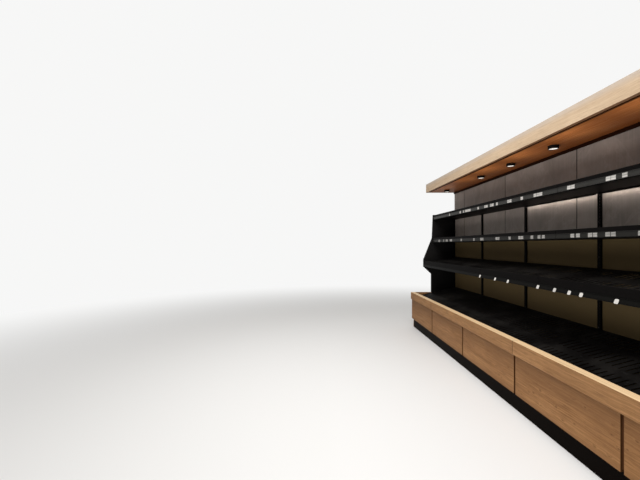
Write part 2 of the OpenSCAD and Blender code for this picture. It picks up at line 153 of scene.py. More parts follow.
class Finish:
    """A procedural material whose places are in metres, in the frame of the whole display."""

    def __init__(self, name):
        self.material = bpy.data.materials.new(name)
        self.material.use_nodes = True
        self.tree = self.material.node_tree
        self.tree.nodes.clear()
        self.output = self.tree.nodes.new("ShaderNodeOutputMaterial")
        self.place = self.node("ShaderNodeTexCoord", out="Object")
        self.x, self.y, self.z = (self.node("ShaderNodeSeparateXYZ", {}, {0: self.place}, out=axis)
                                  for axis in range(3))

    def node(self, kind, settings=None, sockets=None, out=0):
        """A node of any kind, with its settings made first and then its sockets' values or links."""
        made = self.tree.nodes.new(kind)
        for key, value in (settings or {}).items():
            setattr(made, key, value)
        for key, value in (sockets or {}).items():
            if isinstance(value, Value):
                self.tree.links.new(value.socket, made.inputs[key])
            else:
                made.inputs[key].default_value = value
        return Value(self, made.outputs[out])

    def vector(self, x, y, z):
        return self.node("ShaderNodeCombineXYZ", {}, {0: x, 1: y, 2: z})

    def noise(self, vector, scale=1.0, detail=2.0, roughness=0.5, distortion=0.0):
        sockets = {"Vector": vector, "Scale": scale, "Detail": detail, "Roughness": roughness,
                   "Distortion": distortion}
        return self.node("ShaderNodeTexNoise", {}, sockets)

    def scatter(self, x, y):
        """Distance to the nearest of a flat scatter of points, and that point's colour, read as a number."""
        vector = self.vector(x, y, 0.0)
        return (self.node("ShaderNodeTexVoronoi", {"voronoi_dimensions": "2D"}, {"Vector": vector}, out=end)
                for end in ("Distance", "Color"))

    def chance(self, number):
        """A value of its own for each whole number."""
        return self.node("ShaderNodeTexWhiteNoise", {"noise_dimensions": "1D"}, {"W": number * 1.7 + 0.3})

    def mix(self, factor, first, second):
        """The first colour where the factor is 0, the second where it is 1."""
        return self.node("ShaderNodeMix", {"data_type": "RGBA"}, {0: factor, 6: first, 7: second}, out=2)

    def facing(self, way):
        """1 on faces that look the given way, 0 on those square to it."""
        sockets = {0: self.node("ShaderNodeNewGeometry", out="Normal"), 1: way}
        turn = self.node("ShaderNodeVectorMath", {"operation": "DOT_PRODUCT"}, sockets, out="Value")
        return turn.between(0.5, 0.9)

    def upward(self):
        return self.facing((0.0, 0.0, 1.0))

    def bump(self, height, strength, distance):
        return self.node("ShaderNodeBump", {}, {"Height": height, "Strength": strength, "Distance": distance})

    def surface(self, sockets):
        """The finished material, with these values on its shader."""
        shader = self.node("ShaderNodeBsdfPrincipled", {}, sockets)
        self.tree.links.new(shader.socket, self.output.inputs["Surface"])
        return self.material


def rgba(colour):
    """The colour with full alpha."""
    return (*colour, 1.0)


def shade(colour, factor):
    """A colour made lighter or darker by a factor."""
    return tuple(min(1.0, c * factor) for c in colour)


def oak(name, light, dark, along="x", contrast=1.0, roughness=0.5, knots=0.0, faces=(), fades=(), sway=None,
        joints=(), first=BAY, length=BAY):
    """Sawn veneer with its grain along x or y, that starts afresh in each board.

    knots is how strongly the knots show. faces lists (way, colour, strength) for painted shade and highlight
    on the faces that look a given way, and fades (axis, start, end, colour, strength) for painted light and
    shade that comes in from start to end. sway holds where the painted light on the veneer is brightest along
    the run, from its left end, how far on it is so again, and the colour and strength of the painted shade
    between them. joints lists where along the run the boards' ends are stained, and first and length are the
    lengths of the first board along the run and of those after it.
    """
    f = Finish(name)
    board = ((f.x - (LOW.x + first - length - 0.5 * MM)) / length).whole()
    run = (f.x if along == "x" else f.y) + board * 3.71
    across = f.z + (f.y if along == "x" else f.x) + board * 1.37
    wander = f.noise(f.vector(run * 1.6, across * 6.0, board * 0.61), 1.0, 2.0, 0.5) - 0.5
    flow = across + wander * 0.035
    if knots:
        knot, own = f.scatter(run * 1.3, across * 3.4)
        own = own.between(0.25, 0.60)
        eye = (1.0 - knot.between(0.010, 0.045)) * own
        flow = flow + (1.0 - knot.between(0.0, 0.22)) * own * 0.016
    rings = f.noise(f.vector(run * 1.7, flow * 84.0, board), 1.0, 3.0, 0.62).between(0.34, 0.68)
    bands = f.noise(f.vector(run * 0.9, flow * 17.0, board), 1.0, 2.0, 0.5).between(0.32, 0.70)
    flecks = f.noise(f.vector(run * 7.0, flow * 125.0, board), 1.0, 4.0, 0.66).between(0.48, 0.66)
    clouds = f.noise(f.vector(run * 1.6, across * 4.0, board), 1.0, 3.0, 0.55).between(0.3, 0.7)
    fibre = f.noise(f.vector(run * 9.0, across * 420.0, f.y * 3.0), 1.0, 2.0, 0.6)
    pores = f.noise(f.vector(run * 30.0, across * 1150.0, f.y * 3.0), 1.0, 1.0, 0.5).between(0.60, 0.74)
    tone = f.mix(bands * (0.36 * contrast), rgba(light), rgba(dark))
    for mask, strength, depth in ((rings, 0.50, 0.86), (flecks, 0.56, 0.62), (clouds, 0.34, 0.8),
                                  (fibre - 0.35, 0.40, 0.58), (pores, 0.36, 0.36),
                                  (f.chance(board), 0.16, 0.8)):
        tone = f.mix(mask * (strength * contrast), tone, rgba(shade(dark, depth)))
    if knots:
        halo = (1.0 - knot.between(0.03, 0.13)) * own
        tone = f.mix(halo * (0.40 * knots), tone, rgba(shade(dark, 0.50)))
        tone = f.mix(eye * (0.80 * knots), tone, rgba(shade(dark, 0.18)))
    # Painted light in bands along the run, with painted shade between them
    if sway:
        crest, pitch, colour, strength = sway
        swing = 0.5 - ((f.x - (LOW.x + crest - pitch / 4)) * (math.tau / pitch)).sine() * 0.5
        tone = f.mix(swing * strength, tone, rgba(colour))
    # Painted light and shade that comes in along an axis
    for axis, start, end, colour, strength in fades:
        tone = f.mix(getattr(f, axis).between(start, end) * strength, tone, rgba(colour))
    for place in joints:
        stain = 1.0 - (f.x - place).size().between(2.4 * MM, 3.4 * MM)
        tone = f.mix(stain * 0.9, tone, rgba(shade(dark, 0.3)))
    # Painted shade and highlight on the faces that look a given way
    for way, colour, strength in faces:
        tone = f.mix(f.facing(way) * strength * (1.0 - rings * 0.2 * contrast), tone, rgba(colour))
    grain = rings * 0.35 + fibre * 0.5 - pores * 0.9
    return f.surface({
        "Base Color": tone, "Roughness": (rings * 0.10 + fibre * 0.12 + (roughness - 0.1)).at_most(1.0),
        "Specular IOR Level": 0.08, "Normal": f.bump(grain, 0.35, 0.4 * MM)})


def powder_coat(name, colour, roughness=0.5):
    """Black powder coat with its fine orange peel, and faint rubbing on the faces that carry goods."""
    f = Finish(name)
    cloud = f.noise(f.place, 3.0, 3.0, 0.6)
    peel = f.noise(f.place, 900.0, 1.0, 0.5)
    streak = f.noise(f.vector(f.x * 18.0, f.y * 160.0, f.z * 20.0), 1.0, 3.0, 0.65).between(0.60, 0.80)
    rubbed = f.upward() * streak
    dust = f.upward() * cloud.between(0.35, 0.8)
    tone = f.mix(cloud * 0.5, rgba(colour), rgba(shade(colour, 1.7)))
    tone = f.mix(dust * 0.07, tone, (0.20, 0.18, 0.16, 1.0))
    tone = f.mix(rubbed * 0.12, tone, (0.30, 0.29, 0.28, 1.0))
    return f.surface({
        "Base Color": tone, "Roughness": cloud * 0.12 + (roughness - 0.06) + dust * 0.12 - rubbed * 0.08,
        "Specular IOR Level": 0.01, "Normal": f.bump(peel, 0.12, 0.2 * MM)})


def laminate(name, colour, roughness=0.5):
    """Board faced with a plain textured laminate."""
    f = Finish(name)
    cloud = f.noise(f.place, 2.2, 4.0, 0.6)
    weave = f.noise(f.vector(f.x * 260.0, f.y * 260.0, f.z * 420.0), 1.0, 2.0, 0.6)
    tone = f.mix(cloud * 0.25, rgba(colour), rgba(shade(colour, 1.9)))
    tone = f.mix(f.upward() * cloud * 0.12, tone, (0.16, 0.145, 0.13, 1.0))
    return f.surface({"Base Color": tone, "Roughness": weave * 0.14 + (roughness - 0.07),
                      "Specular IOR Level": 0.01, "Normal": f.bump(weave, 0.2, 0.2 * MM)})


def slab_stone(name, colour, joints, face):
    """Honed grey slabs with soft clouds and faint brushed streaks, each in its own tone, with painted shade
    at the joints.

    joints lists where each slab but the first starts along the run, and face is where their front faces lie.
    """
    f = Finish(name)
    half_joint = 3.5 * MM
    slab = sum(((f.x - x).between(0.0, MM) for x in joints), 0.0)
    cloud = f.noise(f.vector(f.x + slab * 5.1, f.y, f.z), 2.6, 6.0, 0.62, 0.6)
    streak = f.noise(f.vector(f.x * 55.0, slab, f.z * 2.2), 1.0, 4.0, 0.68)
    speck = f.noise(f.place, 420.0, 2.0, 0.7)
    drift = f.noise(f.vector(f.x * 1.2 + slab, f.y, f.z * 0.8), 1.7, 5.0, 0.55, 1.2)
    vein = 1.0 - (drift - 0.5).size().between(0.0, 0.02)
    tone = f.mix(cloud.between(0.25, 0.75), rgba(shade(colour, 0.72)), rgba(shade(colour, 1.3)))
    tone = f.mix(streak.between(0.4, 0.8) * 0.35, tone, rgba(shade(colour, 1.55)))
    tone = f.mix(vein * 0.16, tone, rgba(shade(colour, 2.0)))
    tone = f.mix(speck * 0.25, tone, rgba(shade(colour, 0.55)))
    tone = f.mix(f.chance(slab) * 0.22, tone, rgba(shade(colour, 0.6)))
    # Painted shade on the slabs' faces along both sides of each joint
    edge = sum((1.0 - (f.x - (x - half_joint)).size().between(4.5 * MM, 7.0 * MM) for x in joints), 0.0)
    tone = f.mix(edge * 0.8, tone, rgba(shade(colour, 0.15)))
    # Painted shade in the joints' recesses, behind the slabs' front faces
    tone = f.mix((f.y - face).between(0.4 * MM, 1.0 * MM), tone, rgba(shade(colour, 0.04)))
    return f.surface({"Base Color": tone, "Roughness": cloud * 0.2 + 0.45 + speck * 0.1,
                      "Specular IOR Level": 0.3, "Normal": f.bump(speck * 0.5 + streak * 0.4, 0.3, 0.5 * MM)})


def moulded(name, colour, roughness=0.4, gloss=0.06):
    """Plain moulded or extruded plastic."""
    f = Finish(name)
    cloud = f.noise(f.place, 9.0, 3.0, 0.6)
    draw = f.noise(f.vector(f.x * 4.0, f.y * 900.0, f.z * 900.0), 1.0, 2.0, 0.5)
    return f.surface({"Base Color": f.mix(cloud * 0.4, rgba(colour), rgba(shade(colour, 1.5))),
                      "Roughness": cloud * 0.1 + draw * 0.08 + (roughness - 0.08),
                      "Specular IOR Level": gloss, "Normal": f.bump(draw, 0.1, 0.15 * MM)})


def blackened(name):
    """Black-oxide steel on screws, brighter in places."""
    f = Finish(name)
    cloud = f.noise(f.place, 160.0, 3.0, 0.6)
    return f.surface({"Base Color": f.mix(cloud, (0.020, 0.019, 0.018, 1.0), (0.075, 0.072, 0.068, 1.0)),
                      "Metallic": 0.8, "Roughness": cloud * 0.2 + 0.34})


def card_stock(name, colour, bar=None):
    """Card without words, each in its own grey. bar is the foot and head of a plain printed bar."""
    f = Finish(name)
    each = f.node("ShaderNodeNewGeometry", out="Random Per Island")
    cloud = f.noise(f.place, 40.0, 3.0, 0.6)
    fibre = f.noise(f.place, 1400.0, 2.0, 0.6)
    tone = f.mix(each * 0.7, rgba(colour), rgba(shade(colour, 0.62)))
    if bar:
        ink = f.z.between(bar[0], bar[0] + MM) - f.z.between(bar[1] - MM, bar[1])
        tone = f.mix(ink * (each * 0.5 + 0.4), tone, rgba(shade(colour, 0.22)))
    return f.surface({"Base Color": f.mix(cloud * 0.5, tone, rgba(shade(colour, 0.75))),
                      "Roughness": fibre * 0.1 + 0.5, "Normal": f.bump(fibre, 0.1, 0.1 * MM)})


def lit_lens(name, colour, strength):
    """Frosted lens with light behind it."""
    f = Finish(name)
    frost = f.noise(f.place, 700.0, 2.0, 0.6)
    return f.surface({"Base Color": rgba(colour), "Roughness": frost * 0.2 + 0.3,
                      "Emission Color": f.mix(frost * 0.2, rgba(colour), rgba(shade(colour, 0.8))),
                      "Emission Strength": strength})


# Meshes


class Work:
    """A mesh under construction, in metres in the display's own frame."""

    def __init__(self):
        self.bm = bmesh.new()

    def turned(self, place, axis, outline, sides=16):
        """A turned form: outline holds (radius, height) pairs along the axis from place."""
        turn = Vector((0.0, 0.0, 1.0)).rotation_difference(Vector(axis)).to_matrix()
        rings = []
        for radius, height in outline:
            spokes = sides if radius else 1
            angles = [math.tau * k / spokes for k in range(spokes)]
            spots = [Vector((radius * math.cos(a), radius * math.sin(a), height)) for a in angles]
            rings.append([self.bm.verts.new(Vector(place) + turn @ spot) for spot in spots])
        for low, high in zip(rings, rings[1:]):
            for k in range(sides):
                n = (k + 1) % sides
                corners = [low[k % len(low)], low[n % len(low)], high[n % len(high)], high[k % len(high)]]
                self.bm.faces.new(list(dict.fromkeys(corners)))
        for ring in (rings[0], rings[-1]):
            if len(ring) > 1:
                self.bm.faces.new(ring)

    def strip(self, outline, x0, x1):
        """A closed outline of (y, z) points, drawn along x."""
        ends = [[self.bm.verts.new((x, y, z)) for y, z in outline] for x in (x0, x1)]
        count = len(outline)
        for k in range(count):
            n = (k + 1) % count
            self.bm.faces.new((ends[0][k], ends[0][n], ends[1][n], ends[1][k]))
        for end in ends:
            self.bm.faces.new(end)

    def ease(self, arris, segments=2, sharp=40.0, chosen=None):
        """Rounds every sharp edge, or those for which chosen(edge) is true."""
        edges = [e for e in self.bm.edges if len(e.link_faces) == 2
                 and e.calc_face_angle() > math.radians(sharp) and (chosen is None or chosen(e))]
        bmesh.ops.bevel(self.bm, geom=edges, offset=arris, segments=segments, profile=0.5, affect="EDGES")

    def piece(self, name, material, slot):
        """Closes the mesh and makes it a piece that rides on the display."""
        bmesh.ops.recalc_face_normals(self.bm, faces=self.bm.faces)
        mesh = bpy.data.meshes.new(name)
        self.bm.to_mesh(mesh)
        self.bm.free()
        mesh.materials.append(material)
        made = bpy.data.objects.new(name, mesh)
        bpy.context.scene.collection.objects.link(made)
        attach(made, ROOT)
        return made


def reach(edge):
    """How far an edge goes along the run."""
    return abs(edge.verts[0].co.x - edge.verts[1].co.x)


def lengthwise(edge):
    """True for an edge that runs along a bay."""
    return reach(edge) > BAY / 2


def crosswise(edge):
    """True for an edge that lies square to the run."""
    return reach(edge) < MM


def dress(nodes, material):
    """Gives CAD nodes a finish."""
    for name in nodes:
        node = frame["nodes"][name]
        node.data.materials.clear()
        node.data.materials.append(material)


def copied(name):
    """A copy of a CAD node's mesh with only the edges between its flat faces."""
    work = Work()
    work.bm.from_mesh(frame["nodes"][name].data)
    bmesh.ops.remove_doubles(work.bm, verts=work.bm.verts, dist=0.01 * MM)
    bmesh.ops.dissolve_limit(work.bm, angle_limit=math.radians(1.0), verts=work.bm.verts, edges=work.bm.edges)
    return work


def eased(nodes, material, arris, segments=2, chosen=None):
    """Stands a copy with rounded edges in each CAD node's place."""
    for name in nodes:
        work = copied(name)
        work.ease(arris, segments, chosen=chosen)
        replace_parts(work.piece(f"{name}_eased", material, SLOTS[name]), name)


class FinishSettings(bpy.types.PropertyGroup):
    """Colours of the finishes."""

    oak_light: FloatVectorProperty(
        name="Oak, light", description="Light tone of the base's oak", subtype="COLOR",
        default=(0.435, 0.225, 0.090))
    oak_dark: FloatVectorProperty(
        name="Oak, dark", description="Dark tone of the base's oak", subtype="COLOR",
        default=(0.215, 0.098, 0.036))
    # Painted shade on the front panels' edges where they face into the shadow gaps
    panel_gap_shade: FloatVectorProperty(
        name="Panel edge", description="Stained edges in the shadow gaps", subtype="COLOR",
        default=(0.085, 0.036, 0.013))
    rail_light: FloatVectorProperty(
        name="Rail, light", description="Light tone of the rail's oak", subtype="COLOR",
        default=(0.405, 0.215, 0.090))
    rail_dark: FloatVectorProperty(
        name="Rail, dark", description="Dark tone of the rail's oak", subtype="COLOR",
        default=(0.228, 0.110, 0.042))
    # The rail's top is paler, partly from wear and partly as a painted highlight from the light above
    rail_top_wear_and_highlight: FloatVectorProperty(
        name="Rail, top", description="Bare upper edge of the rail", subtype="COLOR",
        default=(0.82, 0.59, 0.345))
    fascia_light: FloatVectorProperty(
        name="Fascia, light", description="Light tone of the fascia's oak", subtype="COLOR",
        default=(0.52, 0.39, 0.265))
    fascia_dark: FloatVectorProperty(
        name="Fascia, dark", description="Dark tone of the fascia's oak", subtype="COLOR",
        default=(0.40, 0.28, 0.175))
    # Painted light on the fascia's upper half, which turns greyer towards its head
    fascia_head_lit: FloatVectorProperty(
        name="Fascia, head", description="Bleached tone along the fascia's head", subtype="COLOR",
        default=(0.39, 0.34, 0.295))
    # Painted shade on the fascia's underside, darker and redder than its face
    fascia_foot_shade: FloatVectorProperty(
        name="Fascia, foot", description="Stained lower edge of the fascia", subtype="COLOR",
        default=(0.21, 0.105, 0.053))
    soffit_light: FloatVectorProperty(
        name="Soffit, light", description="Light tone of the soffit", subtype="COLOR",
        default=(0.98, 0.39, 0.118))
    soffit_dark: FloatVectorProperty(
        name="Soffit, dark", description="Dark tone of the soffit", subtype="COLOR",
        default=(0.56, 0.165, 0.040))
    steel: FloatVectorProperty(
        name="Black steel", description="Powder coat of the steelwork", subtype="COLOR",
        default=(0.0030, 0.0026, 0.0025))
    strip: FloatVectorProperty(
        name="Wall strip", description="Strip along the wall under the soffit", subtype="COLOR",
        default=(0.014, 0.0042, 0.002))
    riser: FloatVectorProperty(
        name="Riser", description="Laminate of the riser panels", subtype="COLOR",
        default=(0.084, 0.059, 0.028))
    carcass: FloatVectorProperty(
        name="Carcass", description="Dark boards inside the base", subtype="COLOR",
        default=(0.060, 0.024, 0.010))
    toe: FloatVectorProperty(
        name="Toe kick", description="Laminate of the toe kick", subtype="COLOR",
        default=(0.0030, 0.0018, 0.0012))
    foot: FloatVectorProperty(
        name="Feet", description="Plastic of the levelling feet", subtype="COLOR",
        default=(0.018, 0.018, 0.018))
    gable: FloatVectorProperty(
        name="Gables", description="Lacquer of the end gables", subtype="COLOR",
        default=(0.0085, 0.0078, 0.0075))
    canopy_top: FloatVectorProperty(
        name="Canopy top", description="Laminate over the canopy", subtype="COLOR",
        default=(0.02, 0.019, 0.018))
    stone: FloatVectorProperty(
        name="Slabs", description="Honed stone-look wall slabs", subtype="COLOR",
        default=(0.280, 0.232, 0.203))
    ticket_rail: FloatVectorProperty(
        name="Ticket rail", description="Plastic of the ticket rails", subtype="COLOR",
        default=(0.022, 0.021, 0.019))
    card: FloatVectorProperty(
        name="Tickets", description="Blank ticket card", subtype="COLOR",
        default=(0.52, 0.495, 0.46))
    lens: FloatVectorProperty(
        name="Lenses", description="Light of the lamps", subtype="COLOR",
        default=(1.0, 0.94, 0.86))
    lens_glow: FloatProperty(
        name="Lens glow", description="Strength of the downlights' lenses",
        default=0.75, min=0.0)
    shelf_glow: FloatProperty(
        name="Shelf light glow", description="Strength of the lens under the upper shelf",
        default=8.4, min=0.0)


class DetailSettings(bpy.types.PropertyGroup):
    """Sizes of the small pieces."""

    board_arris: FloatProperty(
        name="Board arris", description="Easing of the boards' edges", subtype="DISTANCE",
        default=1.0 * MM)
    slab_arris: FloatProperty(
        name="Slab arris", description="Easing of the wall slabs' edges", subtype="DISTANCE",
        default=0.8 * MM)
    rail_chamfer: FloatProperty(
        name="Rail chamfer", description="Chamfer on the ends of the rail's boards", subtype="DISTANCE",
        default=2.0 * MM)
    fold_radius: FloatProperty(
        name="Fold radius", description="Outer radius of the shelves' long folds", subtype="DISTANCE",
        default=1.9 * MM)
    lip_radius: FloatProperty(
        name="Lip radius", description="Rounding of the ticket rails' long edges", subtype="DISTANCE",
        default=0.6 * MM)
    card_w: FloatProperty(
        name="Ticket width", description="Width of a ticket", subtype="DISTANCE",
        default=38.0 * MM)
    card_h: FloatProperty(
        name="Ticket height", description="Height of a ticket between the rail's lips", subtype="DISTANCE",
        default=33.0 * MM)
    card_gap: FloatProperty(
        name="Ticket gap", description="Gap between tickets that stand together", subtype="DISTANCE",
        default=3.0 * MM)
    card_t: FloatProperty(
        name="Ticket thickness", description="Thickness of a ticket", subtype="DISTANCE",
        default=0.5 * MM)
    tag_w: FloatProperty(
        name="Tag width", description="Width of a tag on the lower rail", subtype="DISTANCE",
        default=30.0 * MM)
    tag_corner: FloatProperty(
        name="Tag corner", description="Radius of a tag's corners", subtype="DISTANCE",
        default=8.0 * MM)
    tag_t: FloatProperty(
        name="Tag thickness", description="Thickness of a tag", subtype="DISTANCE",
        default=1.2 * MM)
    screw_r: FloatProperty(
        name="Screw head", description="Radius of a screw's head", subtype="DISTANCE",
        default=4.0 * MM)


class StageSettings(bpy.types.PropertyGroup):
    """Camera, lamps and floor."""

    eye_height: FloatProperty(
        name="Eye height", description="Height of the camera", subtype="DISTANCE",
        default=1.347)
    eye_side: FloatProperty(
        name="Aisle distance", description="Camera to the rail's face", subtype="DISTANCE",
        default=1.613)
    eye_run: FloatProperty(
        name="Run distance", description="Camera to the far end of the run", subtype="DISTANCE",
        default=5.863)
    focal_px: FloatProperty(
        name="Focal length", description="Focal length in pixels of a 640 by 480 frame",
        default=352.0)
    vanish_x: FloatProperty(
        name="Vanishing point across", description="Column where the run vanishes, in pixels",
        default=314.0)
    vanish_y: FloatProperty(
        name="Vanishing point down", description="Row where the run vanishes, in pixels",
        default=245.5)
    key_power: FloatProperty(
        name="Key light", description="Power of the overhead panel", subtype="POWER",
        default=245.0)
    fill_power: FloatProperty(
        name="Fill light", description="Power of the panel that lights from below", subtype="POWER",
        default=140.0)
    sky: FloatProperty(
        name="Ambient light", description="Strength of the light from all round",
        default=0.42)
    floor: FloatVectorProperty(
        name="Floor", description="Colour of the plain floor", subtype="COLOR",
        default=(0.80, 0.79, 0.775))


def settings():
    """The colours and the sizes that the operators work from."""
    return bpy.context.scene.display_finish, bpy.context.scene.display_detail


class DISPLAY_OT_base(bpy.types.Operator):
    """Dress the oak base, its decks, carcass and feet"""

    bl_idname = "display.base"
    bl_label = "Base"

    def execute(self, context):
        finish, detail = settings()
        end = oak("oak_ends", finish.oak_light, finish.oak_dark, along="y", knots=1.0)
        # The rail's upward faces take a paler tone: partly wear, partly a painted highlight
        rail = oak("oak_rail", finish.rail_light, finish.rail_dark, contrast=1.3, length=2 * BAY,
                   faces=[((0.0, 0.0, 1.0), finish.rail_top_wear_and_highlight, 0.9)],
                   joints=[LOW.x + BAY * i for i in range(1, BAYS, 2)])
        carcass = laminate("carcass_board", finish.carcass)
        # Painted shade on the panels' edges that face into the shadow gaps
        left, right = (((way, 0.0, 0.0), finish.panel_gap_shade, 1.3) for way in (-1.0, 1.0))
        panels = numbered("front_panel")
        low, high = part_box(panels[0])
        waist = (low.z + high.z) / 2 - 40 * MM
        # Painted shadow under the rail from waist to head, painted light below the waist, painted shade at
        # the foot
        fades = [("z", waist, high.z - 50 * MM, shade(finish.oak_dark, 0.66), 0.64),
                 ("z", waist, low.z + 60 * MM, shade(finish.oak_light, 1.1), 0.12),
                 ("z", low.z + 50 * MM, low.z, shade(finish.oak_dark, 0.8), 0.5)]
        for name, nodes, edges in (("oak_first", panels[:1], [right]), ("oak", panels[1:-1], [left, right]),
                                   ("oak_last", panels[-1:], [left])):
            face = oak(name, finish.oak_light, finish.oak_dark, contrast=1.45, knots=1.0,
                       faces=edges, fades=fades)
            eased(nodes, face, detail.board_arris)
        eased(["base_end_left", "base_end_right"], end, detail.board_arris)
        self.rail_boards(rail, detail)
        eased(["partitions"], carcass, detail.board_arris)
        dress(["deck_bearers", "bottom_board"], carcass)
        eased(["toe_kick"], laminate("toe_laminate", finish.toe, 0.42), detail.board_arris)
        dress(numbered("produce_deck") + ["rail_liner"], powder_coat("deck_powder_coat", finish.steel))
        dress(["levelling_feet"], moulded("foot_plastic", finish.foot))
        return {"FINISHED"}

    def rail_boards(self, material, detail):
        """The rail in one board over the first bay and one over each two bays after it, with V joints."""
        rails = numbered("top_rail")
        for bays in (rails[:1], *(rails[i:i + 2] for i in range(1, BAYS, 2))):
            work = copied(bays[0])
            low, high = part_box(bays[0])
            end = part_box(bays[-1])[1].x
            for v in work.bm.verts:
                if v.co.x > (low.x + high.x) / 2:
                    v.co.x = end
            work.ease(detail.rail_chamfer, 1, 60.0, crosswise)
            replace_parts(work.piece(f"rail_board_{bays[0][-1]}", material, SLOTS[bays[0]]), *bays)


class DISPLAY_OT_back(bpy.types.Operator):
    """Dress the posts, rails, riser panels, slabs and slotted channels, and add their screws"""

    bl_idname = "display.back"
    bl_label = "Back"

    def execute(self, context):
        finish, detail = settings()
        dress(["back_posts", "back_rails"], powder_coat("frame_powder_coat", finish.steel))
        dress(["slotted_channels"], powder_coat("channel_powder_coat", finish.steel, 0.45))
        eased(["riser_panels"], laminate("riser_laminate", finish.riser, 0.55), detail.board_arris)
        stone = slab_stone("honed_slab", finish.stone, self.slab_joints(), WALL_FACE)
        eased(["wall_slabs"], stone, detail.slab_arris)
        self.channel_screws(detail)
        return {"FINISHED"}

    def slab_joints(self):
        """Where the slabs start along the run, read off their front edges."""
        mesh = frame["nodes"]["wall_slabs"].data
        front = sorted({round(v.co.x, 4) for v in mesh.vertices if v.co.y < WALL_FACE + MM})
        return front[2::2]

    def channel_screws(self, detail):
        """Pan-head screws up each channel, between its two rows of slots."""
        low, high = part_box("slotted_channels")
        half_channel = 16 * MM
        lines = [low.x + half_channel, *(LOW.x + BAY * i for i in range(1, BAYS)), high.x - half_channel]
        rows, inset = 5, 14 * MM
        r, drive = detail.screw_r, detail.screw_r * 0.4
        rim, shoulder, crown, recess = 0.6 * MM, 1.6 * MM, 2.1 * MM, 1.2 * MM
        head = [(r, 0.0), (r, rim), (r * 0.8, shoulder), (drive, crown), (drive, recess), (0.0, recess)]
        work = Work()
        for x in lines:
            for k in range(rows):
                z = low.z + inset + (high.z - low.z - 2 * inset) * k / (rows - 1)
                work.turned((x, low.y, z), (0, -1, 0), head)
        work.piece("channel_screws", blackened("screw_black_oxide"), SLOTS["slotted_channels"])


class DISPLAY_OT_shelves(bpy.types.Operator):
    """Dress the shelves, front stops, brackets, gables and the light under the upper shelf"""

    bl_idname = "display.shelves"
    bl_label = "Shelves"

    def execute(self, context):
        finish, detail = settings()
        steel = powder_coat("shelf_powder_coat", finish.steel, 0.42)
        dress(["lower_shelf", "lower_brackets", "middle_brackets", "upper_brackets"], steel)
        eased(["middle_shelf", "upper_shelf", "lower_front_stops"], steel, detail.fold_radius, segments=3,
              chosen=self.front_fold)
        eased(["gable_left", "gable_right"], laminate("gable_lacquer", finish.gable, 0.4), detail.board_arris)
        dress(["shelf_lights"], powder_coat("profile_coat", finish.steel, 0.4))
        self.shelf_light_lenses(finish)
        return {"FINISHED"}

    def front_fold(self, edge):
        """True for the long upper edge along a shelf's front."""
        front = min(v.co.y for face in edge.link_faces for v in face.verts)
        flat = any(face.normal.z > 0.9 for face in edge.link_faces)
        return lengthwise(edge) and flat and min(v.co.y for v in edge.verts) < front + 0.5 * MM

    def shelf_light_lenses(self, finish):
        """A frosted lens across the slanted mouth of each lit bay's light profile, between its end caps."""
        mesh = frame["nodes"]["shelf_lights"].data
        ends = sorted({round(v.co.x, 4) for v in mesh.vertices})
        back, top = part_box("shelf_lights")[1].yz
        outline = [(back - 0.4 * MM, top - 4.0 * MM), (back - 1.5 * MM, top - 3.6 * MM),
                   (back - 10.6 * MM, top - 11.0 * MM), (back - 10.0 * MM, top - 11.9 * MM)]
        work = Work()
        for i in range(BAYS):
            bay_ends = [x for x in ends if 0.0 <= x - LOW.x - i * BAY < BAY]
            if bay_ends:
                work.strip(outline, bay_ends[1], bay_ends[-2])
        lens = lit_lens("shelf_light_lens", finish.lens, finish.shelf_glow)
        work.piece("shelf_light_lenses", lens, SLOTS["lamp_lenses"])


# Metres from the run's left end to the first ticket of each group, and how many stand together in it
TICKETS = {
    "upper": ((0.705, 1), (1.080, 1), (1.185, 1), (1.250, 4), (1.600, 1), (1.770, 2), (1.905, 2), (2.035, 1),
              (2.255, 2), (2.490, 1), (2.690, 1), (2.733, 1), (2.772, 1), (3.110, 2), (3.475, 2), (3.602, 1),
              (3.930, 2), (4.210, 3), (4.560, 1), (4.790, 2)),
    "middle": ((0.305, 2), (0.515, 1), (0.615, 2), (0.775, 2), (1.150, 1), (1.522, 1), (1.705, 2), (2.055, 2),
               (2.310, 1), (2.480, 2), (2.672, 1), (2.772, 1), (2.830, 1), (3.168, 1), (3.225, 1), (3.340, 1),
               (3.384, 1), (3.490, 1), (3.534, 1), (3.730, 1), (4.080, 2), (4.410, 1), (4.720, 2)),
}
# Metres from the run's left end to the middle of each tag on the lower rail
TAGS = (2.023, 2.344, 2.576, 3.017, 3.214, 3.366, 3.478, 3.757, 4.080, 4.310, 4.560, 4.830)


